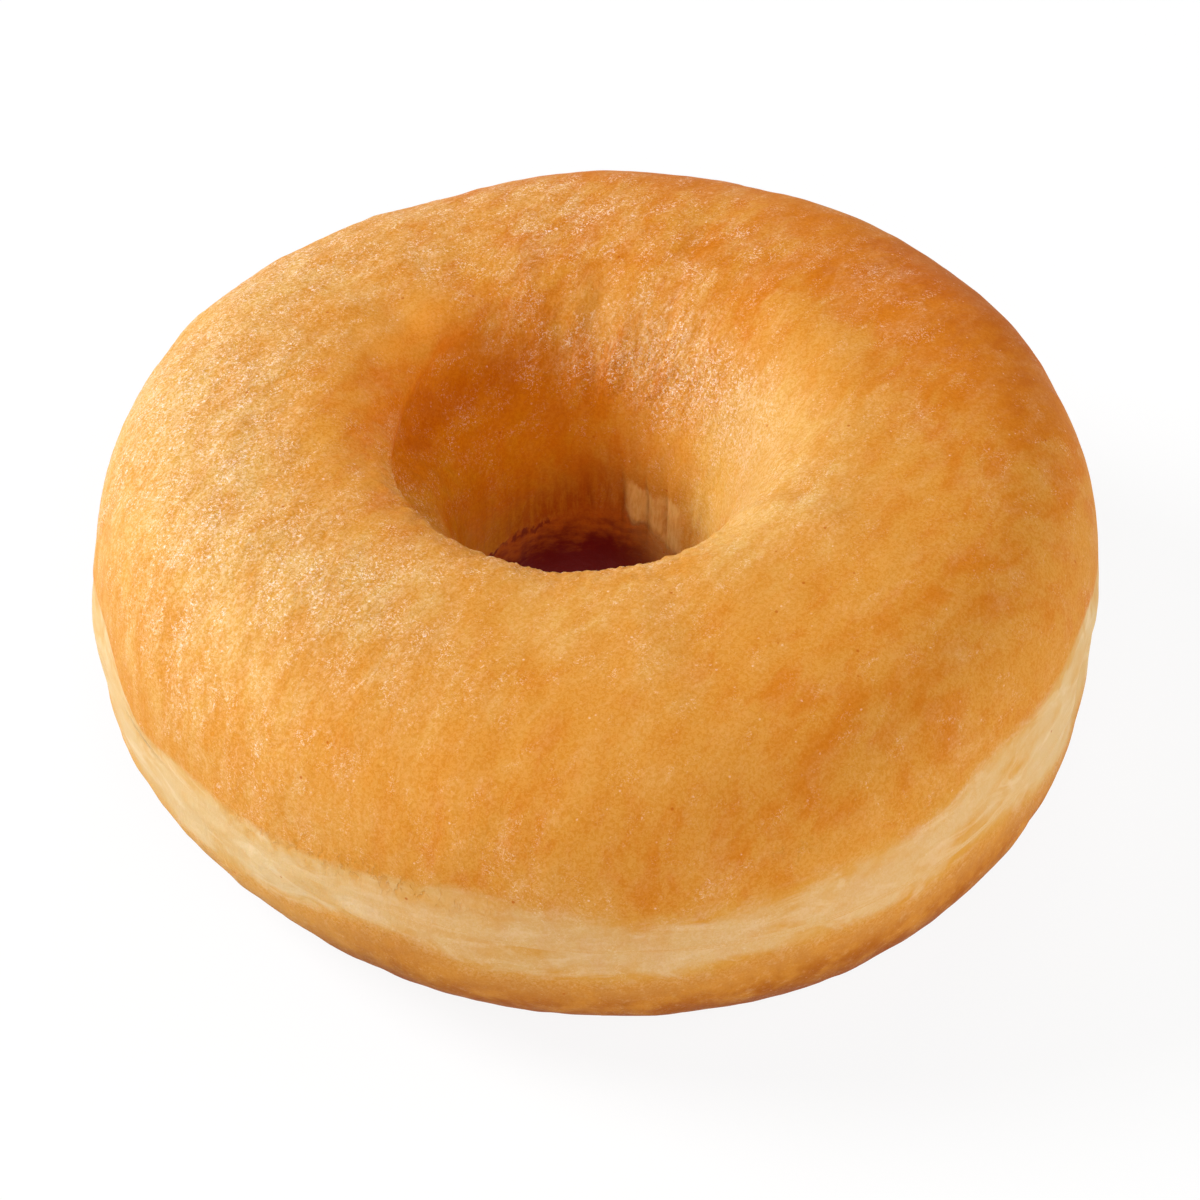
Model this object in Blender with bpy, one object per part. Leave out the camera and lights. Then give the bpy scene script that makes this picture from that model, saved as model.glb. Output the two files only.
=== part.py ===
"""A plain raised ring doughnut: one solid, in metres, +Z up.

The finished doughnut stands on z = 0 with the middle of its bounding box over the origin.
Two angles name a place on it, both in degrees:
  azimuth goes round the hole, 0 at the front (-Y) and 90 at the right (+X);
  turn goes round the dough, 0 on the widest line outside, 90 on the crest, 180 in the hole's
  narrowest line and 270 on the sole.
"""

import math

import bmesh
import bpy
from mathutils import Vector, noise

# Driving dimensions. Heights are from the widest line, which lies in a level plane.
OUTER_RADIUS = 0.0450
WAIST_RADIUS = 0.0113
CREST_RADIUS = 0.0239
CREST_HEIGHT = 0.0221
SOLE_RADIUS = 0.0234
SOLE_DEPTH = 0.0158
FLAT_DEPTH = 0.0152  # the sole is pressed flat below this depth

# How square each quarter of the dough's section is: 2 is an ellipse, more is boxier.
OUTER_TOP_SQUARENESS = 3.05
INNER_TOP_SQUARENESS = 1.95
INNER_SOLE_SQUARENESS = 2.5
OUTER_SOLE_SQUARENESS = 2.36

# Uneven rise, as (lobes round the ring, size in metres, azimuth of one peak).
OUTLINE_SWELLS = ((1, 0.00156, 64), (3, 0.00054, 30), (4, 0.00023, 4))
CREST_SWELLS = ((1, 0.00041, 106), (2, 0.00110, 96))
SOLE_SWELLS = ((1, 0.00035, 65), (2, 0.00035, 26))

# Local swells of the funnel that leads into the hole, as (azimuth, turn, half width and half height
# in degrees, height in metres). Its lip is fuller in front, and its wall is hollow at the left.
FUNNEL_SWELLS = (
    (22, 112, 44, 24, 0.0011),
    (-72, 133, 26, 12, -0.0012),
    (-118, 136, 34, 13, -0.0008),
)

# The pale line of soft dough, which bulges between the fried upper and lower crusts. Its swells are
# (azimuth, half width in degrees, height in metres), as the crust's are.
PALE_TOP = 0.0052
PALE_BOTTOM = -0.0022
PALE_SWELLS = ((99, 15, 0.0007), (72, 14, -0.0008), (-98, 26, 0.0003))
SEAM_DEPTH = 0.0002
SEAM_HALF_WIDTH = 0.0014

# Shallow rises and hollows of the upper crust near its outer edge.
CRUST_SWELLS = ((178, 12, 0.0003), (-148, 10, -0.0003), (141, 14, 0.0003), (92, 12, 0.0002))

# Folds down the wall of the hole, and low ripples that run outwards over the crust.
FOLD_DEPTH = 0.0007
FOLDS_ACROSS = 3.5
FOLD_REACH = 0.0085
FOLD_STRETCH = 4.0
RIPPLE_HEIGHT = 0.00035
RIPPLES_ACROSS = 9.0
RIPPLE_STRETCH = 60.0
LUMP_HEIGHT = 0.00030
LUMP_SIZE = 0.014

AZIMUTH_STEPS = 108
TURN_STEPS = 46
CRUST_COLOUR = (0.68, 0.30, 0.07, 1.0)
CRUST_ROUGHNESS = 0.5


def clear_scene():
    for obj in list(bpy.data.objects):
        bpy.data.objects.remove(obj, do_unlink=True)


def swell(azimuth, lobes):
    """Sum of the cosine lobes at this azimuth."""
    return sum(size * math.cos(count * math.radians(azimuth - peak)) for count, size, peak in lobes)


def bell(distance, half_width):
    return math.exp(-((distance / half_width) ** 2))


def angle_between(one, other):
    return (one - other + 180) % 360 - 180


def local_swell(azimuth, bumps):
    """Sum of the bumps that lie near this azimuth."""
    return sum(size * bell(angle_between(azimuth, where), wide) for where, wide, size in bumps)


def rounded(turn, squareness):
    """Point of a unit superellipse in the direction of the turn, as (outwards, upwards)."""
    across, up = math.cos(math.radians(turn)), math.sin(math.radians(turn))
    reach = (abs(across) ** squareness + abs(up) ** squareness) ** (-1 / squareness)
    return reach * across, reach * up


def even_section(turn):
    """Radius and height of the doughnut's even section, before it rises unevenly."""
    outside, above = math.cos(math.radians(turn)) >= 0, math.sin(math.radians(turn)) >= 0
    if above:
        squareness = OUTER_TOP_SQUARENESS if outside else INNER_TOP_SQUARENESS
        middle, tall = CREST_RADIUS, CREST_HEIGHT
    else:
        squareness = OUTER_SOLE_SQUARENESS if outside else INNER_SOLE_SQUARENESS
        middle, tall = SOLE_RADIUS, SOLE_DEPTH
    wide = OUTER_RADIUS - middle if outside else middle - WAIST_RADIUS
    across, up = rounded(turn, squareness)
    return middle + wide * across, tall * up


def risen_point(azimuth, turn):
    """Place of the dough's skin at this azimuth and turn, with its uneven rise."""
    radius, height = even_section(turn)
    outwards = max(0.0, (radius - WAIST_RADIUS) / (OUTER_RADIUS - WAIST_RADIUS))
    radius *= 1 + outwards * swell(azimuth, OUTLINE_SWELLS) / OUTER_RADIUS
    if height > 0:
        height *= 1 + swell(azimuth, CREST_SWELLS) / CREST_HEIGHT
    else:
        height *= 1 + swell(azimuth, SOLE_SWELLS) / SOLE_DEPTH
    around = math.radians(azimuth)
    return Vector((radius * math.sin(around), -radius * math.cos(around), height))


def pale_line_relief(azimuth, height):
    """Bulge of the soft dough, with a shallow seam where it meets each crust."""
    middle, half = (PALE_TOP + PALE_BOTTOM) / 2, (PALE_TOP - PALE_BOTTOM) / 2
    relief = local_swell(azimuth, PALE_SWELLS) * bell(height - middle, half)
    for seam in (PALE_TOP, PALE_BOTTOM):
        relief -= SEAM_DEPTH * bell(height - seam, SEAM_HALF_WIDTH)
    return relief


def hole_fold_relief(azimuth, height):
    """Uneven folds down the hole's wall, as ridges between shallow hollows."""
    around = math.radians(azimuth)
    place = Vector((math.cos(around), math.sin(around), height / FOLD_REACH)) * FOLDS_ACROSS
    place.z /= FOLD_STRETCH
    return -FOLD_DEPTH * abs(noise.noise(place)) * bell(height, FOLD_REACH)


def crust_relief(azimuth, turn, point):
    """Ripples that run outwards from the hole, over broad low lumps."""
    around, over = math.radians(azimuth), math.radians(turn)
    spread = Vector((math.cos(around), math.sin(around), 0)) * RIPPLES_ACROSS
    spread.z = math.hypot(point.x, point.y) * RIPPLE_STRETCH
    ripples = RIPPLE_HEIGHT * noise.noise(spread) * max(0.0, math.sin(over))
    return ripples + LUMP_HEIGHT * noise.noise(point / LUMP_SIZE)


def funnel_relief(azimuth, turn):
    return sum(
        size * bell(angle_between(azimuth, where), wide) * bell(turn - level, tall)
        for where, level, wide, tall, size in FUNNEL_SWELLS
    )


def skin_relief(azimuth, turn, point):
    relief = crust_relief(azimuth, turn, point) + funnel_relief(azimuth, turn)
    if math.cos(math.radians(turn)) <= 0:
        return relief + hole_fold_relief(azimuth, point.z)
    relief += local_swell(azimuth, CRUST_SWELLS) * max(0.0, math.sin(math.radians(2 * turn)))
    return relief + pale_line_relief(azimuth, point.z)


def shape_dough(mesh):
    """Moves each vertex of a round torus to its place on the doughnut, sole down on z = 0."""
    shaped = bmesh.new()
    shaped.from_mesh(mesh)
    places = []
    for vertex in shaped.verts:
        x, y, z = vertex.co
        azimuth = math.degrees(math.atan2(x, -y))
        turn = math.degrees(math.atan2(z, math.hypot(x, y) - CREST_RADIUS)) % 360
        places.append((vertex, azimuth, turn))
        vertex.co = risen_point(azimuth, turn)
    shaped.normal_update()
    for vertex, azimuth, turn in places:
        vertex.co += vertex.normal * skin_relief(azimuth, turn, vertex.co)
        vertex.co.z = max(vertex.co.z, -FLAT_DEPTH)
    bmesh.ops.recalc_face_normals(shaped, faces=shaped.faces)
    xs = [vertex.co.x for vertex in shaped.verts]
    ys = [vertex.co.y for vertex in shaped.verts]
    centre = Vector(((min(xs) + max(xs)) / 2, (min(ys) + max(ys)) / 2, -FLAT_DEPTH))
    bmesh.ops.translate(shaped, verts=shaped.verts, vec=-centre)
    shaped.to_mesh(mesh)
    shaped.free()


def crust_material():
    crust = bpy.data.materials.new("fried_crust")
    crust.use_nodes = True
    shader = crust.node_tree.nodes["Principled BSDF"]
    shader.inputs["Base Color"].default_value = CRUST_COLOUR
    shader.inputs["Roughness"].default_value = CRUST_ROUGHNESS
    shader.inputs["Metallic"].default_value = 0.0
    return crust


def add_doughnut(collection):
    bpy.ops.mesh.primitive_torus_add(
        major_radius=CREST_RADIUS,
        minor_radius=CREST_RADIUS / 2,
        major_segments=AZIMUTH_STEPS,
        minor_segments=TURN_STEPS,
    )
    doughnut = bpy.context.active_object
    doughnut.name = doughnut.data.name = "doughnut"
    shape_dough(doughnut.data)
    doughnut.data.shade_smooth()
    doughnut.data.materials.append(crust_material())
    for other in list(doughnut.users_collection):
        other.objects.unlink(doughnut)
    collection.objects.link(doughnut)


def main():
    clear_scene()
    collection = bpy.data.collections.new("ring_doughnut")
    bpy.context.scene.collection.children.link(collection)
    add_doughnut(collection)


main()
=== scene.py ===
"""The looks of a plain raised ring doughnut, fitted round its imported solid.

Metres, +Z up, front at -Y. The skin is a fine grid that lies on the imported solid, smoothed and
given the relief that is too small for the solid. Azimuth goes round the hole, 0 at the front and 90
at the right, in degrees. Turn goes round the dough: 0 outwards, 90 up, 180 towards the hole and 270
down. Heights and relief in the tables are in mm, heights from the widest plane.
"""

import math

import bpy
import numpy as np
from mathutils import Matrix, Vector
from mathutils.bvhtree import BVHTree


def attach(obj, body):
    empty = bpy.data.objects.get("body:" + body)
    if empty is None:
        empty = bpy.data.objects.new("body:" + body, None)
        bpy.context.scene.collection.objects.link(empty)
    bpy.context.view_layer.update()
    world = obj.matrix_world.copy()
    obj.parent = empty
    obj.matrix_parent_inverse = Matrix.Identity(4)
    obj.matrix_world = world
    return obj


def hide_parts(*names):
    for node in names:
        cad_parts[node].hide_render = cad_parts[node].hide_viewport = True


MM = 0.001

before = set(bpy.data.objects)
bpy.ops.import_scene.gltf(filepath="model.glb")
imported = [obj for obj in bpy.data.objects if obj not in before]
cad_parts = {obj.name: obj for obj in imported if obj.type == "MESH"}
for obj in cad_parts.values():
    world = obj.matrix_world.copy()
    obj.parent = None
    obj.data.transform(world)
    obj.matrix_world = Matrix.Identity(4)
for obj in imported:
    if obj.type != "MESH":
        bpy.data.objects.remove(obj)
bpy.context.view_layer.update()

# The camera, as fitted to the photograph's 1200 x 1200 frame.
PHOTO_SIDE = 1200
CAMERA_ELEVATION = 43.16
CAMERA_DISTANCE = 0.405
CAMERA_FOCAL_PIXELS = 4447.6
CAMERA_ROLL = 0.22
SENSOR_WIDTH = 36
AXIS_PIXEL = (585.5, 593.6)  # where the hole's axis crosses the widest plane

# The skin's grid.
WIDEST_HEIGHT = 15.2 * MM
CORE_RADIUS = 23.6 * MM
CORE_HEIGHT = 17.5 * MM
AZIMUTHS = 480
TURNS = 204
SOLE_SHARE = 0.45  # how dense the grid is on the sole, beside 1 elsewhere
SOLE_START, SOLE_END = (218, 235), (300, 320)  # turns over which it thins out and thickens again
SMOOTHING = 2.5  # in grid steps
HOLE_REACH = 16 * MM  # the hole's wall lies within this of the middle, in the widest plane
FLOW_RADIUS = 18  # mm, of the ring round which marks that run down the dough are spread
FLOOR_FADE = (0.2, 1.6)  # mm over the floor where the skin's relief starts and is full

# The crust's streaks run towards the front left, at this angle. They are long because their noise is
# read at places that are drawn together by these shares across, along and up.
STREAK_ANGLE = math.radians(36)
STREAK_STRETCH = (1, 0.45, 0.5)

# The pale line round the outside, as (azimuth, upper edge, lower edge, half width of the upper
# edge's fade, paleness).
PALE_LINE = (
    (-150, 5.6, -1.4, 1.0, 0.8),
    (-115, 5.2, -0.8, 0.6, 0.9),
    (-88, 5.0, -1.5, 0.25, 1.0),
    (-75, 6.8, -3.2, 0.25, 1.0),
    (-63, 3.3, -4.3, 0.3, 1.0),
    (-52, 4.3, -4.0, 0.5, 1.0),
    (-40, 4.3, -2.7, 0.7, 1.0),
    (-28, 5.0, -1.2, 0.7, 0.85),
    (-21, 5.8, -0.3, 0.7, 0.7),
    (-12, 7.0, -1.9, 0.9, 0.62),
    (0, 6.0, -1.9, 2.0, 0.65),
    (11, 5.9, -1.5, 2.0, 0.65),
    (24, 7.2, 0.2, 1.8, 0.65),
    (36, 8.0, 0.0, 1.6, 0.7),
    (50, 9.6, 0.8, 1.3, 0.8),
    (62, 9.4, -1.4, 0.8, 0.9),
    (72, 9.8, -2.8, 0.4, 0.95),
    (84, 8.7, -3.0, 0.4, 0.95),
    (105, 6.0, -2.2, 0.8, 0.85),
    (140, 5.8, -1.0, 1.1, 0.8),
)
# The same inside the hole, where the fade softens the lower edge too.
HOLE_LINE = (
    (-124, 2.4, -2.8, 0.4, 0.0),
    (-134, 2.4, -2.1, 0.3, 0.0),
    (-142, 2.4, -1.4, 0.25, 0.0),
    (-151, 2.6, -1.1, 0.25, 0.0),
    (-160, 2.8, -1.0, 0.35, 0.0),
    (-168, 3.2, -0.5, 0.8, 0.0),
    (178, 3.8, 0.2, 1.2, 0.0),
    (170, 4.0, 0.4, 1.2, 0.0),
    (163, 4.1, 0.2, 0.9, 0.05),
    (159, 3.9, -0.1, 0.5, 0.8),
    (148, 3.3, -0.6, 0.4, 0.85),
    (137, 3.7, -1.8, 0.4, 0.95),
    (132, 3.4, -2.0, 0.4, 0.85),
    (128.5, 3.0, -3.0, 0.4, 0.05),
    (120, 3.0, -3.6, 0.6, 0.0),
    (100, 3.0, -2.6, 0.8, 0.0),
    (0, 3.4, -2.0, 0.8, 0.0),
    (-70, 2.8, -2.6, 0.8, 0.0),
)

# Fields over the crust, as (azimuth, turn, half width, half height, amount). The bumps of the crust
# are tallest, and its painted sheen, glints and grain shading strongest, where it is rough.
ROUGHNESS = (
    (140, 121, 42, 17, 0.62),
    (-60, 100, 60, 30, 0.12),
    (-95, 50, 55, 30, 0.47),
    (-40, 62, 32, 18, 0.2),
    (-125, 106, 35, 13, -0.3),
    (-135, 70, 30, 22, 0.08),
    (88, 55, 22, 18, 0.1),
    (-78, 98, 30, 11, -0.25),
    (175, 75, 45, 35, 0.2),
    (-15, 128, 55, 18, 0.5),
    (-70, 112, 50, 6, 0.2),
    (-110, 130, 60, 25, 0.1),
    (20, 50, 55, 34, -0.25),
    (90, 50, 55, 34, -0.2),
    (165, 150, 30, 20, -0.25),
    (178, 110, 18, 12, -0.2),
    (130, 107, 13, 9, -0.25),
)
# How pale (above 0) or deep (below 0) the crust's tone is: partly how it is fried and partly painted
# light and shade, paler on the lit left and on the funnel's lit right wall, deeper at the right and
# on the funnel's shaded left wall.
FRYING_AND_PAINTED_LIGHT = (
    (-78, 48, 52, 34, 1.0),
    (-68, -20, 28, 16, 0.85),
    (15, 92, 50, 18, 0.35),
    (68, 120, 44, 34, 1.5),
    (112, 145, 24, 34, 1.3),
    (-125, 121, 44, 11, -1.35),
    (-100, 122, 26, 12, -0.5),
    (-165, 126, 30, 20, -0.6),
    (-145, 155, 48, 22, -1.0),
    (-95, 100, 35, 14, -0.15),
    (110, 62, 55, 34, -0.7),
    (38, 42, 40, 30, -0.15),
    (-145, 50, 25, 16, 0.35),
    (-30, 45, 20, 16, -0.2),
    (118, 66, 24, 20, -0.3),
    (178, 48, 30, 18, -0.5),
    (122, 48, 28, 16, -1.2),
    (112, 38, 20, 12, -0.8),
    (120, 80, 24, 15, -0.35),
    (178, 90, 32, 14, -0.3),
    (178, 48, 45, 10, -0.5),
    (15, 20, 40, 24, -0.15),
    (-38, 76, 34, 16, 0.2),
    (-32, -20, 22, 13, 0.4),
    (-75, 98, 30, 11, -0.5),
    (-125, 101, 26, 8, 0.15),
    (112, 170, 16, 18, 0.8),
    (140, 43, 12, 12, 0.6),
    (131, 108, 13, 9, -0.35),
    (-46, 97, 13, 8, -0.35),
)

# The funnel's rim, as (azimuth, turn, share of the step in under it). It is crisp at the left.
RIM = (
    (-30, 106.0, 0.0),
    (-50, 107.2, 0.7),
    (-65, 109.0, 1.0),
    (-80, 111.5, 1.0),
    (-95, 113.2, 0.9),
    (-114, 112.3, 0.8),
    (-130, 109.6, 0.7),
    (-145, 106.0, 0.4),
    (-165, 104.0, 0.1),
    (90, 108.0, 0.0),
)
FUNNEL_MM_A_DEGREE = 0.3  # how far down its wall one degree of turn reaches
# Folds in the hole, as (azimuth, height, half width, half height, relief).
FOLDS = (
    (157, 1.3, 3.0, 2.4, 0.35),
    (146.5, 1.0, 3.0, 1.9, 0.30),
    (133.5, 0.6, 4.2, 3.0, 0.35),
    (151.5, 1.2, 1.0, 2.8, -0.45),
    (140.5, 1.0, 1.3, 2.8, -0.50),
    (163.5, 2.0, 1.6, 3.4, -0.45),
)
# Where the crust has torn in small dents along the pale line, as (azimuth, height, half width, half
# height, share).
TEARS = (
    (-40, 4.0, 8, 1.0, 0.7),
    (-22, 5.4, 12, 1.3, 1.0),
    (22, 10.6, 4, 1.2, 0.8),
    (40, 9.6, 5, 1.4, 0.7),
    (-62, 3.0, 5, 1.0, 0.5),
    (150, 5.0, 12, 1.2, 0.7),
    (-150, 5.0, 12, 1.2, 0.7),
)
# Small shapes of the outside and the funnel's lip, as (azimuth, turn, half width, half height,
# relief). The deepest is the notch at the far right.
SHAPES = (
    (78, 10, 5, 7, 0.4),
    (76, -3.5, 5, 5.5, -1.5),
    (69.5, -1, 2.5, 6, 0.4),
    (26, 101, 16, 16, -0.35),
    (-35, 102, 12, 14, 0.3),
    (66, -1, 7, 12, 0.3),
    (50, 16, 10, 22, -0.2),
    (14, -17, 10, 14, -0.15),
    (-80, 2, 6, 8, 0.45),
    (-98, 20, 8, 14, -0.25),
    (133, 58, 9, 14, -0.4),
    (114, 53, 7, 14, 0.3),
    (-117, 50, 8, 14, 0.4),
)

# Tints inside the funnel and the hole, several of them painted light and shade. The windows of
# azimuths are (azimuth, half width).
BOUNCE_TINT_LEFT = (-128, 68)  # painted warm bounce light: the funnel's shaded left wall is made a saturated gold
BOUNCE_TINT_TURNS = (104, 122)  # where that starts and where it is full
BOUNCE_TINT_DELAY = (-175, 26)  # at the back it starts further down
BOUNCE_TINT_DELAY_TURN = 12
BOUNCE_TINT_RIGHT = (118, 34)  # low at the right a little of it is painted too, as warm light
BOUNCE_TINT_RIGHT_TURNS = (118, 145)
BOUNCE_TINT_RIGHT_SHARE = 0.4
RIM_SHADE_LIFT_LEFT = (-110, 48)  # painted light: a redder, brighter ring lifts the shade round the top of the left wall
RIM_SHADE_LIFT_RING = (104, 8)  # its turn and half height
DARKENING_WINDOW = (-170, 40)  # at the back the crust darkens towards the hole's pale line
DARKENING_REACH = (-9.0, -0.5)  # where that starts and is full, in mm below the line's lower edge
PALE_FOLDS = (141, 14)  # the crust is less red under the pale folds

# The front lip's crumbs, as windows of azimuth and of turn.
CRUMBLY_LIP = (-15, 75)
CRUMBLY_TURNS = (108, 12)

# Layers of noise in the relief, as (height, size, seed), in mm.
BROAD_LUMPS = ((0.14, 7.0, 1),)
WRINKLES = ((0.26, 3.2, 2), (0.14, 1.6, 5))
PEBBLES = ((0.14, 2.4, 3), (0.10, 1.2, 4))
LINE_UNEVENNESS = ((0.08, 2.0, 11), (0.05, 1.0, 16))
HOLE_FOLDS = ((0.18, 2.2, 12), (0.10, 1.1, 13))
LIP_CRUMBS = ((0.26, 0.8, 14), (0.16, 0.45, 15))

# The skin's fields that the material reads.
FIELDS = "over under fade paleness redness toast rich warm tears inside rough frying".split()

# Numbers that scramble the corners of the noise's cells.
SCRAMBLE = (374761393, 668265263, 873287470)
SEED_STEP = 1442695041
KEY_BITS = 0x7FFFFFFF


# ---------------------------------------------------------------- numbers and noise


def smooth(low, high, value):
    share = np.clip((value - low) / (high - low), 0, 1)
    return share * share * (3 - 2 * share)


def bell(distance, half_width):
    return np.exp(-((distance / half_width) ** 2))


def angle_between(one, other):
    return (one - other + 180) % 360 - 180


def near(azimuth, window):
    """Bell over a window of azimuths."""
    middle, half_width = window
    return bell(angle_between(azimuth, middle), half_width)


def within(azimuth, window, squareness=4):
    """As near, but flatter in the middle and steeper at the window's ends."""
    middle, half_width = window
    return np.exp(-(np.abs(angle_between(azimuth, middle) / half_width) ** squareness))


def spread(azimuth, level, rows):
    """Sum of the rows' bells, each (azimuth, level, half width, half height, amount)."""
    total = np.zeros(azimuth.shape)
    for at, height, wide, tall, amount in rows:
        total += amount * bell(angle_between(azimuth, at), wide) * bell(level - height, tall)
    return total


def round_the_ring(azimuth, rows, column):
    """Smooth periodic curve through one column of rows that start with an azimuth."""
    rows = sorted(rows)
    at = np.array([row[0] for row in rows], float)
    value = np.array([row[column] for row in rows], float)
    at = np.concatenate([at - 360, at, at + 360])
    value = np.tile(value, 3)
    slope = np.gradient(value, at)
    k = np.clip(np.searchsorted(at, azimuth, side="right") - 1, 0, len(at) - 2)
    width = at[k + 1] - at[k]
    t = (azimuth - at[k]) / width
    return (
        (2 * t**3 - 3 * t**2 + 1) * value[k]
        + (t**3 - 2 * t**2 + t) * width * slope[k]
        + (3 * t**2 - 2 * t**3) * value[k + 1]
        + (t**3 - t**2) * width * slope[k + 1]
    )


def lattice_noise(points, seed=0):
    """Gradient noise between about -1 and 1 at each of the points, whose last axis is x, y, z."""
    cell = np.floor(points).astype(np.int64)
    inside = points - cell
    fade = inside**3 * (inside * (inside * 6 - 15) + 10)
    total = 0.0
    for corner in np.ndindex(2, 2, 2):
        key = (cell + corner) @ np.array(SCRAMBLE) + seed * SEED_STEP
        key = (key ^ (key >> 13)) * 1274126177 & KEY_BITS
        key = (key ^ (key >> 16)) * 668265263 & KEY_BITS
        turn = (key & 0xFFFF) * (2 * np.pi / 65536)
        rise = (key >> 16 & 0x7FFF) / 16384.0 - 1
        flat = np.sqrt(1 - rise**2)
        away = inside - corner
        slope = away[..., 0] * flat * np.cos(turn) + away[..., 1] * flat * np.sin(turn)
        slope = slope + away[..., 2] * rise
        weight = np.where(corner, fade, 1 - fade).prod(-1)
        total = total + weight * slope
    return total * 1.6


def layered_noise(points, layers):
    """Sum of the layers of noise, each (height, size, seed)."""
    return sum(height * lattice_noise(points / size, seed) for height, size, seed in layers)


# ---------------------------------------------------------------- the skin


def hole_centre(node):
    """Where the hole's axis crosses the widest plane, by the circle through the vertices there."""
    places = np.array([vertex.co for vertex in node.data.vertices])
    level = np.abs(places[:, 2] - WIDEST_HEIGHT) < MM
    ring = places[level & (np.hypot(places[:, 0], places[:, 1]) < HOLE_REACH)][:, :2]
    terms = np.column_stack([2 * ring, np.ones(len(ring))])
    x, y, _ = np.linalg.lstsq(terms, (ring**2).sum(1), rcond=None)[0]
    return np.array([x, y, WIDEST_HEIGHT])


def ray_grid(node, centre, azimuths, turns):
    """Distance from the dough's core ring to its surface, for each turn and azimuth."""
    solid = node.data
    tree = BVHTree.FromPolygons(
        [vertex.co for vertex in solid.vertices], [tuple(face.vertices) for face in solid.polygons]
    )
    reach = np.zeros((len(turns), len(azimuths)))
    for i, azimuth in enumerate(np.radians(azimuths)):
        out = Vector((math.sin(azimuth), -math.cos(azimuth), 0))
        start = Vector(centre[:2].tolist() + [0]) + out * CORE_RADIUS
        start.z = CORE_HEIGHT
        for j, turn in enumerate(np.radians(turns)):
            way = out * math.cos(turn)
            way.z = math.sin(turn)
            reach[j, i] = tree.ray_cast(start, way)[3]
    return reach


def even_turns(node, centre):
    """Turns that divide the mean section evenly by length, with fewer on the sole."""
    tries = np.arange(0, 360, 1.0)
    reach = ray_grid(node, centre, np.arange(0, 360, 30.0), tries).mean(1)
    reach = np.append(reach, reach[0])
    tries = np.append(tries, 360.0)
    across, up = reach * np.cos(np.radians(tries)), reach * np.sin(np.radians(tries))
    dense = 1 - (1 - SOLE_SHARE) * smooth(*SOLE_START, tries) * (1 - smooth(*SOLE_END, tries))
    run = np.hypot(np.diff(across), np.diff(up)) * (dense[1:] + dense[:-1]) / 2
    run = np.concatenate([[0], np.cumsum(run)])
    return np.interp(np.arange(TURNS) / TURNS * run[-1], run, tries)


def blurred(grid, steps):
    """The grid with a Gaussian blur that wraps round both ways."""
    rows = np.fft.fftfreq(grid.shape[0])[:, None]
    columns = np.fft.fftfreq(grid.shape[1])[None, :]
    keep = np.exp(-2 * (np.pi * steps) ** 2 * (rows**2 + columns**2))
    return np.fft.ifft2(np.fft.fft2(grid) * keep).real


def grid_normals(places):
    along_turn = np.roll(places, -1, 0) - np.roll(places, 1, 0)
    along_ring = np.roll(places, -1, 1) - np.roll(places, 1, 1)
    normals = np.cross(along_ring, along_turn)
    return normals / np.linalg.norm(normals, axis=-1, keepdims=True)


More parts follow.
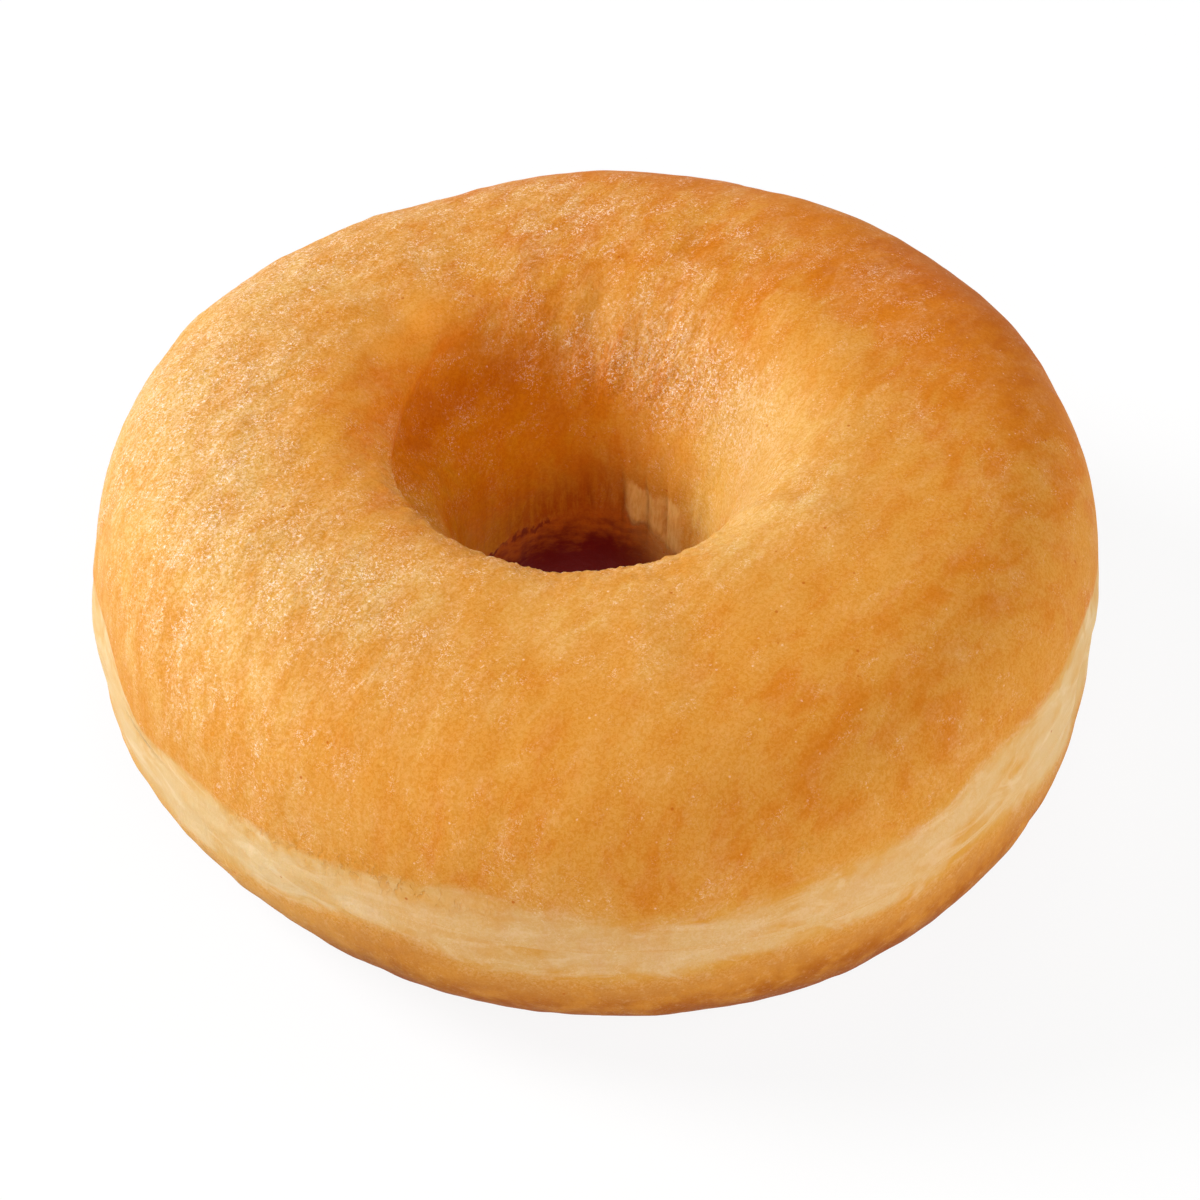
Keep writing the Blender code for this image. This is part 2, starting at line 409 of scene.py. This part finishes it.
class Skin:
    """Grid of places on the doughnut, with the fields that its relief and colours come from."""

    def __init__(self, node):
        self.centre = hole_centre(node)
        turns = even_turns(node, self.centre)
        azimuths = np.arange(AZIMUTHS) * 360 / AZIMUTHS - 180
        reach = blurred(ray_grid(node, self.centre, azimuths, turns), SMOOTHING)
        self.azimuth = np.broadcast_to(azimuths[None, :], reach.shape)
        self.turn = np.broadcast_to(turns[:, None], reach.shape)
        around, over = np.radians(self.azimuth), np.radians(self.turn)
        radius = CORE_RADIUS + reach * np.cos(over)
        height = np.maximum(CORE_HEIGHT + reach * np.sin(over), 0)
        x = self.centre[0] + radius * np.sin(around)
        y = self.centre[1] - radius * np.cos(around)
        self.places = np.stack([x, y, height], -1)
        self.height = (height - WIDEST_HEIGHT) / MM
        self.inside = (np.cos(over) < 0).astype(float)
        self.level = (self.turn + 90) % 360 - 90
        self.set_flow()
        self.set_pale_line()
        self.set_crust_fields()

    def set_flow(self):
        """Places in mm that follow the section, for marks that run outwards from the hole."""
        around = np.radians(self.azimuth)
        step = np.linalg.norm(np.roll(self.places, -1, 0) - self.places, axis=-1).mean(1) / MM
        run = np.concatenate([[0], np.cumsum(step)[:-1]])[:, None]
        x, y = FLOW_RADIUS * np.sin(around), FLOW_RADIUS * np.cos(around)
        self.flow = np.stack([x, y, run + 0 * around], -1)

    def set_pale_line(self):
        """Distances in mm above and below the pale line's edges, and its fade and paleness."""
        outside = [round_the_ring(self.azimuth, PALE_LINE, k) for k in (1, 2, 3, 4)]
        inside = [round_the_ring(self.azimuth, HOLE_LINE, k) for k in (1, 2, 3, 4)]
        upper, lower, self.fade, self.paleness = (
            a + (b - a) * self.inside for a, b in zip(outside, inside)
        )
        ragged = 0.5 * lattice_noise(self.flow * np.array([1, 1, 0.3]) / 1.7, 40)
        ragged += 0.35 * lattice_noise(self.flow * np.array([1, 1, 0.5]) / 0.7, 41)
        self.over = self.height - upper
        self.under = lower - self.height + ragged * self.inside

    def set_crust_fields(self):
        """Roughness, fried tone with its painted light and shade, and tears of the crust, and the
        tints inside the funnel and the hole, some of them painted light and shade.
        """
        patchy = lattice_noise(self.places / MM / 12, 30)
        rough = 0.25 + spread(self.azimuth, self.level, ROUGHNESS) + 0.2 * patchy
        self.rough = np.clip(rough, 0.03, 1.2)
        self.frying = spread(self.azimuth, self.level, FRYING_AND_PAINTED_LIGHT)
        self.tears = np.clip(spread(self.azimuth, self.height, TEARS), 0, 1) * (1 - self.inside)
        self.redness = self.inside * (1 - 0.7 * near(self.azimuth, PALE_FOLDS))
        # Painted warm bounce light in the funnel's shade, and a little low at the right.
        late = BOUNCE_TINT_DELAY_TURN * near(self.azimuth, BOUNCE_TINT_DELAY)
        left = smooth(*BOUNCE_TINT_TURNS, self.turn - late) * within(self.azimuth, BOUNCE_TINT_LEFT)
        right = smooth(*BOUNCE_TINT_RIGHT_TURNS, self.turn) * near(self.azimuth, BOUNCE_TINT_RIGHT)
        self.rich = self.inside * np.maximum(left, BOUNCE_TINT_RIGHT_SHARE * right)
        # Painted light lifting the shade of the ring round the top of the funnel's left wall.
        turn, half_height = RIM_SHADE_LIFT_RING
        self.warm = bell(self.turn - turn, half_height) * within(self.azimuth, RIM_SHADE_LIFT_LEFT)
        darkened = smooth(*DARKENING_REACH, self.under) * within(self.azimuth, DARKENING_WINDOW, 3)
        self.toast = self.inside * darkened

    def push(self, relief):
        """Moves the places along their normals by a relief in mm."""
        self.places = self.places + grid_normals(self.places) * (relief * MM)[..., None]


def streak_places(skin):
    """Places in mm, shortened along the streaks of the crust."""
    x, y, z = np.moveaxis(skin.places / MM, -1, 0)
    across = x * math.cos(STREAK_ANGLE) - y * math.sin(STREAK_ANGLE)
    along = x * math.sin(STREAK_ANGLE) + y * math.cos(STREAK_ANGLE)
    return np.stack([across, along, z], -1) * STREAK_STRETCH


def crust_relief(skin):
    """Soft lumps, streaks and pebbles of the fried crust, in mm."""
    solid, streaks = skin.places / MM, streak_places(skin)
    relief = layered_noise(solid, BROAD_LUMPS)
    relief += layered_noise(streaks, WRINKLES) * (0.25 + 0.8 * skin.rough)
    relief += layered_noise(solid, PEBBLES) * (0.05 + 1.3 * skin.rough**1.5)
    calmer_below = 0.6 + 0.4 * smooth(35, 75, skin.turn)
    return relief * calmer_below


def line_relief(skin):
    """The crusts stand a little proud of the pale line, more so where its edge is crisp."""
    reach = 0.5 + 0.6 * skin.fade
    in_line = smooth(1, -1, skin.over / reach) * smooth(0.8, -0.8, skin.under)
    proud = 0.06 + 0.14 * smooth(0.5, 0.2, skin.fade)
    return -in_line * (proud + layered_noise(skin.flow, LINE_UNEVENNESS))


def hole_relief(skin):
    """Folds down the hole's wall, and the step in under its pale line, in mm."""
    tall = np.array([1, 1, 0.3])
    folds = layered_noise(skin.flow * tall, HOLE_FOLDS) * bell(skin.height - 1.5, 5.0)
    folds = folds + spread(skin.azimuth, skin.height, FOLDS)
    step = 0.30 * skin.redness * smooth(-0.3, 0.5, skin.under) * smooth(0.9, 0.3, skin.fade)
    return folds * skin.inside - step


def lip_relief(skin):
    """Small crumbs along the front lip of the funnel, in mm."""
    turn, half_height = CRUMBLY_TURNS
    lip = within(skin.azimuth, CRUMBLY_LIP) * bell(skin.turn - turn, half_height)
    return layered_noise(skin.places / MM, LIP_CRUMBS) * lip


def rim_relief(skin):
    """The crust swells a little above the funnel's rim and steps in under it, in mm."""
    level, step = (round_the_ring(skin.azimuth, RIM, k) for k in (1, 2))
    below = (skin.turn - level) * FUNNEL_MM_A_DEGREE
    shoulder = smooth(-3.5, -0.5, below) * smooth(0.9, -0.5, below)
    wall = smooth(-0.5, 0.9, below) * smooth(9.0, 1.5, below)
    return np.maximum(step, 0) * (0.35 * shoulder - 0.65 * wall) * skin.inside


def shape_skin(skin):
    """Gives the skin all its relief, less of the crust's in the pale line and none on the floor."""
    crust = np.maximum(smooth(-0.5, 1.5, skin.over), smooth(-0.5, 1.5, skin.under))
    clear_of_floor = smooth(*FLOOR_FADE, skin.places[..., 2] / MM)
    shapes = spread(skin.azimuth, skin.level, SHAPES) + rim_relief(skin) + lip_relief(skin)
    relief = crust_relief(skin) * (0.3 + 0.7 * crust)
    relief = relief + line_relief(skin) + hole_relief(skin) + shapes
    skin.push(relief * clear_of_floor)
    skin.places[..., 2] = np.maximum(skin.places[..., 2], 0)


def skin_object(skin):
    """The skin's grid as a closed mesh, with its fields as attributes."""
    index = np.arange(TURNS * AZIMUTHS).reshape(TURNS, AZIMUTHS)
    after = np.roll(index, -1, 1)
    quads = np.stack([index, after, np.roll(after, -1, 0), np.roll(index, -1, 0)], -1)
    mesh = bpy.data.meshes.new("doughnut_skin")
    mesh.from_pydata(skin.places.reshape(-1, 3).tolist(), [], quads.reshape(-1, 4).tolist())
    piece = bpy.data.objects.new("doughnut_skin", mesh)
    bpy.context.scene.collection.objects.link(piece)
    for name in FIELDS:
        field = mesh.attributes.new(name, "FLOAT", "POINT")
        field.data.foreach_set("value", getattr(skin, name).ravel().astype(np.float32))
    field = mesh.attributes.new("flow", "FLOAT_VECTOR", "POINT")
    field.data.foreach_set("vector", skin.flow.ravel().astype(np.float32))
    mesh.shade_smooth()
    return piece


# ---------------------------------------------------------------- materials


# Sockets of a mix node that mixes colours.
MIX_SHARE, MIX_ONE, MIX_OTHER, MIX_COLOUR = 0, 6, 7, 2


class Shading:
    """Adds nodes to a material: a number or colour sets an input, and a socket links to it."""

    def __init__(self, name):
        self.material = bpy.data.materials.new(name)
        self.material.use_nodes = True
        self.tree = self.material.node_tree
        self.shader = self.tree.nodes["Principled BSDF"]

    def put(self, socket, value):
        if isinstance(value, bpy.types.NodeSocket):
            self.tree.links.new(value, socket)
        else:
            socket.default_value = value

    def add(self, kind, inputs, output=0, **settings):
        node = self.tree.nodes.new(kind)
        for name, value in settings.items():
            setattr(node, name, value)
        for name, value in inputs.items():
            self.put(node.inputs[name], value)
        return node.outputs[output]

    def attribute(self, name, output="Fac"):
        return self.add("ShaderNodeAttribute", {}, output, attribute_name=name)

    def math(self, operation, one, other=0.0):
        return self.add("ShaderNodeMath", {0: one, 1: other}, operation=operation)

    def plus(self, one, other):
        return self.math("ADD", one, other)

    def times(self, one, other):
        return self.math("MULTIPLY", one, other)

    def stretched(self, vector, by):
        return self.add("ShaderNodeVectorMath", {0: vector, 1: by}, operation="MULTIPLY")

    def noise(self, vector, size, detail=2.0, rough=0.5, twist=0.0):
        inputs = {"Vector": vector, "Scale": 1 / size}
        inputs.update({"Detail": detail, "Roughness": rough, "Distortion": twist})
        return self.add("ShaderNodeTexNoise", inputs, "Fac")

    def ramp(self, value, low, high, start=0.0, end=1.0):
        """Smooth step from start at the low value to end at the high one."""
        inputs = {"Value": value, "From Min": low, "From Max": high, "To Min": start, "To Max": end}
        return self.add("ShaderNodeMapRange", inputs, interpolation_type="SMOOTHSTEP")

    def mix(self, share, one, other, blend="MIX"):
        node = self.tree.nodes.new("ShaderNodeMix")
        node.data_type = "RGBA"
        node.blend_type = blend
        self.put(node.inputs[MIX_SHARE], share)
        self.put(node.inputs[MIX_ONE], one)
        self.put(node.inputs[MIX_OTHER], other)
        return node.outputs[MIX_COLOUR]


# Colours, as linear red, green, blue and alpha. The funnel's tints of painted light and the painted
# light and shade of the curly grain multiply the colour under them.
GOLD = (0.610, 0.250, 0.034, 1)
AMBER = (0.565, 0.165, 0.008, 1)
DEEP = (0.50, 0.120, 0.003, 1)
LIGHT = (0.670, 0.370, 0.100, 1)
# Painted sheen, also the colour of the lower crust's pale specks.
SHEEN_AND_SPECKS = (0.84, 0.58, 0.29, 1)
# Colour of the painted glints.
PAINTED_GLINT = (0.88, 0.68, 0.46, 1)
# Painted warm bounce light in the funnel.
BOUNCE_TINT = (1.0, 0.93, 0.20, 1)
# Painted light that lifts the shade round the funnel's left rim.
RIM_SHADE_LIFT = (1.17, 1.02, 0.80, 1)
PALE = (0.65, 0.44, 0.205, 1)
CREAM = (0.73, 0.55, 0.32, 1)
HONEY = (0.60, 0.29, 0.045, 1)
BEIGE = (0.76, 0.42, 0.12, 1)
BEIGE_DARK = (0.66, 0.31, 0.070, 1)
BROWN = (0.36, 0.065, 0.001, 1)
LOWER = (0.55, 0.230, 0.045, 1)
SOLE = (0.41, 0.120, 0.009, 1)
# Painted shade of the crust nearest the floor.
SOLE_SHADE = (0.27, 0.060, 0.002, 1)
RUST = (0.43, 0.085, 0.003, 1)
# Deep red of the hole, partly painted shade.
SHADED_RED = (0.13, 0.003, 0.001, 1)
# Painted shade in a crack.
CRACK_SHADE = (0.20, 0.022, 0.001, 1)
TEAR = (0.56, 0.22, 0.020, 1)
SPECK = (0.44, 0.080, 0.004, 1)
# Painted shade and highlight of the curly grain.
GRAIN_SHADE = (0.91, 0.80, 0.44, 1)
GRAIN_HIGHLIGHT = (1.06, 1.16, 1.62, 1)
WHITE = (1.0, 1.0, 1.0, 1)
FLOOR_GREY = (0.10, 0.10, 0.10, 1)
FLOOR_REACH = (0.15, 0.8)  # metres from the middle over which the floor's glow grows
FLOOR_GLOW = (0.88, 1.0)

# The crust's surface.
DULL, GLINTING = 0.52, 0.34  # roughness between the grains and on them
CRUST_SPECULAR = 0.015
BUMP_DISTANCE = 0.24 * MM
SUBSURFACE = 0.12
SUBSURFACE_RADIUS = (1.0, 0.4, 0.15)
SUBSURFACE_SCALE = 1.2 * MM


def cells(s, place, size):
    """Scattered cells of this size: how far the nearest one's middle is, and its random number."""
    inputs = {"Vector": place, "Scale": 1 / size, "Randomness": 1.0}
    distance = s.add("ShaderNodeTexVoronoi", inputs, "Distance")
    return distance, s.add("ShaderNodeSeparateColor", {0: distance.node.outputs["Color"]}, 0)


def grain_fields(s, place, streaks):
    """Fine curly grain of the crust, its crowds of pale flecks that are painted glints, and its few
    dark specks.
    """
    curls = s.noise(place, 0.30, 2, 0.65, 0.8)
    crowd = s.plus(s.noise(streaks, 1.3, 3, 0.6, 0.2), s.times(s.attribute("rough"), 0.30))
    crowd = s.ramp(crowd, 0.50, 0.88, 0.02, 1.0)
    flecks = s.times(s.ramp(s.noise(place, 0.22, 2, 0.7, 1.2), 0.54, 0.61), crowd)
    distance, chance = cells(s, place, 0.5)
    stray = s.times(s.ramp(distance, 0.30, 0.10), s.ramp(curls, 0.42, 0.58, 0.3, 1.0))
    stray = s.times(stray, s.ramp(s.plus(chance, s.times(crowd, 0.1)), 0.95, 1.0))
    distance, chance = cells(s, place, 2.2)
    speck = s.times(s.ramp(distance, 0.085, 0.04), s.ramp(chance, 0.80, 0.82))
    return curls, s.math("MAXIMUM", flecks, stray), speck


def upper_crust(s, place, streaks, flow, glint):
    """Colour of the upper crust, with mottling, a painted sheen, painted glints on the grain and the
    funnel's tints of painted light.
    """
    mottling = s.noise(streaks, 2.2, 5, 0.62, 0.3)
    broad = s.noise(place, 11, 2, 0.5)
    # This field paints light and shade as well as the fried tone.
    frying = s.plus(s.attribute("frying"), s.ramp(broad, 0.34, 0.66, -0.2, 0.2))
    frying = s.plus(frying, s.ramp(mottling, 0.30, 0.70, -0.42, 0.42))
    colour = s.mix(s.ramp(frying, 0.0, 1.5), GOLD, LIGHT)
    colour = s.mix(s.ramp(frying, 0.1, -1.0), colour, AMBER)
    colour = s.mix(s.ramp(frying, -1.0, -2.0), colour, DEEP)
    rough, rich = s.attribute("rough"), s.attribute("rich")
    # Painted warm bounce light in the funnel.
    colour = s.mix(rich, colour, BOUNCE_TINT, "MULTIPLY")
    # Painted light lifting the shade round the funnel's left rim.
    colour = s.mix(s.attribute("warm"), colour, RIM_SHADE_LIFT, "MULTIPLY")
    # Painted sheen: a pale haze, thickest where the crust is rough.
    reach = s.plus(s.noise(streaks, 2.0, 4, 0.68, 0.3), s.times(rough, 0.28))
    haze = s.ramp(reach, 0.46, 0.92, 0.0, 0.7)
    strokes = s.ramp(s.noise(streaks, 0.42, 3, 0.7, 0.6), 0.46, 0.64)
    strokes = s.times(strokes, s.ramp(rough, 0.1, 0.6, 0.15, 0.6))
    haze = s.times(haze, s.plus(strokes, 0.2))
    haze = s.times(haze, s.ramp(rich, 0.0, 1.0, 1.0, 0.15))
    # Painted glints on the grain, fewer on the funnel's shaded wall.
    painted_glints = s.times(glint, s.ramp(rough, 0.0, 0.7, 0.4, 1.0))
    painted_glints = s.times(painted_glints, s.ramp(rich, 0.0, 1.0, 1.0, 0.55))
    colour = s.mix(painted_glints, s.mix(haze, colour, SHEEN_AND_SPECKS), PAINTED_GLINT)
    stripes = s.noise(s.stretched(flow, (1, 1, 0.5)), 0.8, 4, 0.65, 0.4)
    # Darker down the back of the funnel, towards the hole's pale line.
    toast = s.times(s.attribute("toast"), s.ramp(stripes, 0.36, 0.60, 0.7, 1.0))
    return s.mix(toast, colour, BROWN)


def lower_crust(s, place, glint, under):
    """Colour of the lower crust, browner towards the sole and darkest near the floor, partly painted
    shade, paler on the lit left as painted light, with pale specks and a few painted glints.
    """
    colour = s.mix(s.ramp(under, 0.5, 4.5), LOWER, SOLE)
    # Darkest near the floor: painted shade.
    colour = s.mix(s.ramp(under, 3.0, 7.5), colour, SOLE_SHADE)
    patches = s.ramp(s.noise(place, 3.2, 4, 0.6), 0.36, 0.68, 0.0, 0.6)
    colour = s.mix(s.times(patches, s.ramp(under, 9.0, 4.0)), colour, GOLD)
    # Paler on the lit left: painted light.
    colour = s.mix(s.ramp(s.attribute("frying"), 0.1, 1.2, 0.0, 0.8), colour, LIGHT)
    # Pale specks, with a little of the painted glints.
    pale_specks = s.ramp(s.noise(place, 0.9, 4, 0.65), 0.54, 0.72, 0.0, 0.14)
    return s.mix(s.plus(pale_specks, s.times(glint, 0.2)), colour, SHEEN_AND_SPECKS)


def pale_dough(s, flow, over, under):
    """Colour of the pale line: honey at its edges, with cream creases, and beige in the hole."""
    edge = s.math("MAXIMUM", s.ramp(over, -2.6, 0.4), s.ramp(under, -1.8, 0.4))
    patches = s.plus(s.noise(flow, 2.4, 3, 0.55), s.times(edge, 0.22))
    softness = s.ramp(s.attribute("fade"), 0.2, 1.6, 0.5, 1.0)
    dough = s.mix(s.times(s.ramp(patches, 0.42, 0.74), softness), PALE, HONEY)
    creases = s.noise(s.stretched(flow, (0.7, 0.7, 1.2)), 1.7, 3, 0.6, 1.0)
    dough = s.mix(s.ramp(creases, 0.46, 0.68, 0.0, 0.6), dough, CREAM)
    fibres = s.noise(s.stretched(flow, (1.6, 1.6, 0.5)), 1.1, 3, 0.6, 0.3)
    fibres = s.times(s.ramp(fibres, 0.52, 0.66), s.ramp(over, -4.5, -0.5))
    dough = s.mix(s.times(fibres, 0.4), dough, HONEY)
    flakes = s.noise(s.stretched(flow, (1, 1, 0.6)), 0.45, 4, 0.65, 0.3)
    fold = s.mix(s.ramp(flakes, 0.36, 0.62), BEIGE_DARK, BEIGE)
    return s.mix(s.attribute("inside"), dough, fold)


def hole_crust(s, flow, bottom):
    """Colour of the hole's wall: a crack's painted shade, rust with level fibres below it, then deep
    red that is partly painted shade.
    """
    fibres = s.noise(s.stretched(flow, (0.3, 0.3, 1.6)), 0.8, 4, 0.65)
    depth = s.plus(bottom, s.ramp(fibres, 0.3, 0.7, -1.2, 1.2))
    # Deeper red further down the hole, partly painted shade.
    colour = s.mix(s.ramp(depth, -0.4, 5.5), RUST, SHADED_RED)
    from_crack = s.math("ABSOLUTE", s.math("SUBTRACT", bottom, 0.35))
    broken = s.ramp(s.noise(flow, 1.3, 3, 0.6), 0.38, 0.52)
    # Painted shade of a crack.
    crack = s.times(s.ramp(from_crack, 0.75, 0.3), broken)
    crack = s.times(crack, s.ramp(s.attribute("fade"), 0.9, 0.4))
    return s.mix(crack, colour, CRACK_SHADE)


def add_tears(s, colour, flow):
    """The colour with small dents torn along the pale line, and the dents themselves."""
    dents = s.noise(s.stretched(flow, (1.2, 1.2, 0.5)), 0.45, 3, 0.6)
    dents = s.times(s.attribute("tears"), s.ramp(dents, 0.51, 0.61))
    return s.mix(s.times(dents, 0.6), colour, TEAR), dents


def add_grain_shading(s, colour, curls, speck, in_line, under):
    """The colour with painted light and shade on its curly grain, calmer in the pale line and low
    down, and its dark specks.
    """
    # Painted light and shade of the curly grain.
    grain = s.mix(s.ramp(curls, 0.38, 0.62), GRAIN_SHADE, GRAIN_HIGHLIGHT)
    calm = s.math("MAXIMUM", in_line, s.ramp(under, 0.5, 2.0, 0.0, 0.6))
    strength = s.ramp(s.attribute("rough"), 0.0, 0.9, 0.5, 1.0)
    strength = s.times(strength, s.ramp(calm, 0.0, 1.0, 1.0, 0.12))
    colour = s.mix(strength, colour, grain, "MULTIPLY")
    return s.mix(s.times(speck, 0.7), colour, SPECK)


def crust_bump(s, streaks, curls, dents):
    """Normal of the finest relief: pebbles and curls, less the torn dents."""
    rough = s.attribute("rough")
    pebbles = s.times(s.noise(streaks, 0.8, 4, 0.62), s.ramp(rough, 0.0, 1.0, 0.25, 1.6))
    bumps = s.plus(pebbles, s.times(curls, s.ramp(rough, 0.0, 1.0, 0.10, 0.55)))
    bumps = s.math("SUBTRACT", bumps, s.times(dents, 0.3))
    inputs = {"Strength": 1.0, "Distance": BUMP_DISTANCE, "Height": bumps}
    return s.add("ShaderNodeBump", inputs)


def finish_crust(s, colour, glint, bump):
    """Sets the shader's own sockets."""
    s.put(s.shader.inputs["Base Color"], colour)
    s.put(s.shader.inputs["Roughness"], s.ramp(glint, 0.0, 1.0, DULL, GLINTING))
    s.put(s.shader.inputs["Normal"], bump)
    s.put(s.shader.inputs["Specular IOR Level"], CRUST_SPECULAR)
    s.put(s.shader.inputs["Subsurface Weight"], SUBSURFACE)
    s.put(s.shader.inputs["Subsurface Radius"], SUBSURFACE_RADIUS)
    s.put(s.shader.inputs["Subsurface Scale"], SUBSURFACE_SCALE)
    return s.material


def crust_material():
    """The crusts, with the pale line between them. Textures are laid out in mm."""
    s = Shading("fried_crust")
    place = s.stretched(s.add("ShaderNodeTexCoord", {}, "Object"), (1 / MM, 1 / MM, 1 / MM))
    streaks = s.add("ShaderNodeMapping", {"Vector": place, "Rotation": (0, 0, STREAK_ANGLE)})
    streaks = s.stretched(streaks, STREAK_STRETCH)
    flow = s.stretched(s.attribute("flow", "Vector"), (1, 1, 0.6))
    over, under, fade = s.attribute("over"), s.attribute("under"), s.attribute("fade")
    curls, glint, speck = grain_fields(s, place, streaks)
    ragged = s.math("SUBTRACT", s.noise(flow, 1.5, 5, 0.68), 0.5)

    bottom = s.plus(under, s.times(ragged, 2.6))
    lower = lower_crust(s, place, glint, under)
    lower = s.mix(s.attribute("redness"), lower, hole_crust(s, flow, bottom))
    usual_fade = 1.2  # the lower edge has this outside and the line's own fade inside
    soft = s.times(s.attribute("inside"), s.math("SUBTRACT", fade, usual_fade))
    below = s.ramp(s.math("DIVIDE", bottom, s.plus(soft, usual_fade)), -1.0, 1.0)
    colour = s.mix(below, upper_crust(s, place, streaks, flow, glint), lower)

    top = s.math("DIVIDE", s.plus(over, s.times(ragged, 2.0)), fade)
    in_line = s.times(s.ramp(top, 1.0, -1.0), s.ramp(bottom, 1.3, -0.9))
    in_line = s.times(in_line, s.attribute("paleness"))
    colour = s.mix(in_line, colour, pale_dough(s, flow, over, under))

    colour, dents = add_tears(s, colour, flow)
    colour = add_grain_shading(s, colour, curls, speck, in_line, under)
    return finish_crust(s, colour, glint, crust_bump(s, streaks, curls, dents))


def floor_material():
    """White floor that glows a little, more so far out, so that the shadow on it stays faint."""
    s = Shading("floor")
    away = s.add("ShaderNodeTexCoord", {}, "Object")
    away = s.add("ShaderNodeVectorMath", {0: away}, "Value", operation="LENGTH")
    s.put(s.shader.inputs["Base Color"], FLOOR_GREY)
    s.put(s.shader.inputs["Roughness"], 0.9)
    s.put(s.shader.inputs["Specular IOR Level"], 0.1)
    s.put(s.shader.inputs["Emission Color"], WHITE)
    s.put(s.shader.inputs["Emission Strength"], s.ramp(away, *FLOOR_REACH, *FLOOR_GLOW))
    return s.material


# ---------------------------------------------------------------- camera, light and floor


def add_camera(target):
    """Looks at the target so that it falls on its pixel of the photograph, with no shift."""
    elevation = math.radians(CAMERA_ELEVATION)
    back = Vector((0, -math.cos(elevation), math.sin(elevation)))
    right, up = Vector((1, 0, 0)), Vector((0, math.sin(elevation), math.cos(elevation)))
    metres_a_pixel = CAMERA_DISTANCE / CAMERA_FOCAL_PIXELS
    across = (PHOTO_SIDE / 2 - AXIS_PIXEL[0]) * metres_a_pixel
    above = (AXIS_PIXEL[1] - PHOTO_SIDE / 2) * metres_a_pixel
    camera = bpy.data.objects.new("camera", bpy.data.cameras.new("camera"))
    camera.data.sensor_width = SENSOR_WIDTH
    camera.data.lens = CAMERA_FOCAL_PIXELS / PHOTO_SIDE * SENSOR_WIDTH
    place = Vector(target.tolist()) + back * CAMERA_DISTANCE + right * across + up * above
    turned = Matrix((right, up, back)).transposed().to_4x4()
    rolled = Matrix.Rotation(math.radians(CAMERA_ROLL), 4, "Z")
    camera.matrix_world = Matrix.Translation(place) @ turned @ rolled
    bpy.context.scene.collection.objects.link(camera)
    bpy.context.scene.camera = camera


# Soft lights, as (name, place, size, power).
LIGHTS = (
    ("key", (-0.62, 0.10, 0.50), 0.38, 7.3),
    ("back", (0.22, 0.72, 0.45), 0.60, 2.2),
    ("right", (0.80, 0.0, 0.30), 0.50, 2.25),
    ("front_right", (0.46, -0.62, 0.33), 0.60, 1.2),
    ("front", (0.05, -0.62, 0.52), 0.50, 2.6),
)
LIGHTS_AIM = (0, 0, 0.02)
FLOOR_SIDE = 6  # metres


def add_softbox(name, place, size, power):
    light = bpy.data.lights.new(name, "AREA")
    light.shape = "DISK"
    light.size = size
    light.energy = power
    lamp = bpy.data.objects.new(name, light)
    lamp.location = place
    lamp.rotation_mode = "QUATERNION"
    lamp.rotation_quaternion = (Vector(place) - Vector(LIGHTS_AIM)).to_track_quat("Z", "Y")
    bpy.context.scene.collection.objects.link(lamp)


# The world's light, as (sine of the elevation, strength).
CEILING = (0.30, 0.02)
HORIZON = (0.05, 1.0)


def studio_world():
    """A white horizon under a dark ceiling."""
    world = bpy.data.worlds.new("studio")
    world.use_nodes = True
    tree = world.node_tree
    place = tree.nodes.new("ShaderNodeTexCoord")
    parts = tree.nodes.new("ShaderNodeSeparateXYZ")
    fade = tree.nodes.new("ShaderNodeMapRange")
    fade.interpolation_type = "SMOOTHSTEP"
    fade.inputs["From Min"].default_value, fade.inputs["To Min"].default_value = CEILING
    fade.inputs["From Max"].default_value, fade.inputs["To Max"].default_value = HORIZON
    tree.links.new(place.outputs["Generated"], parts.inputs[0])
    tree.links.new(parts.outputs["Z"], fade.inputs["Value"])
    tree.links.new(fade.outputs[0], tree.nodes["Background"].inputs["Strength"])
    tree.nodes["Background"].inputs["Color"].default_value = WHITE
    return world


def add_surroundings():
    bpy.context.scene.world = studio_world()
    bpy.context.scene.view_settings.view_transform = "Standard"
    for name, place, size, power in LIGHTS:
        add_softbox(name, place, size, power)
    bpy.ops.mesh.primitive_plane_add(size=FLOOR_SIDE)
    floor = bpy.context.active_object
    floor.name = floor.data.name = "floor"
    floor.data.materials.append(floor_material())


def main():
    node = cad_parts["doughnut"]
    skin = Skin(node)
    add_camera(skin.centre)
    add_surroundings()
    shape_skin(skin)
    piece = skin_object(skin)
    piece.data.materials.append(crust_material())
    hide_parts("doughnut")
    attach(piece, "root")


main()
bpy.context.view_layer.update()
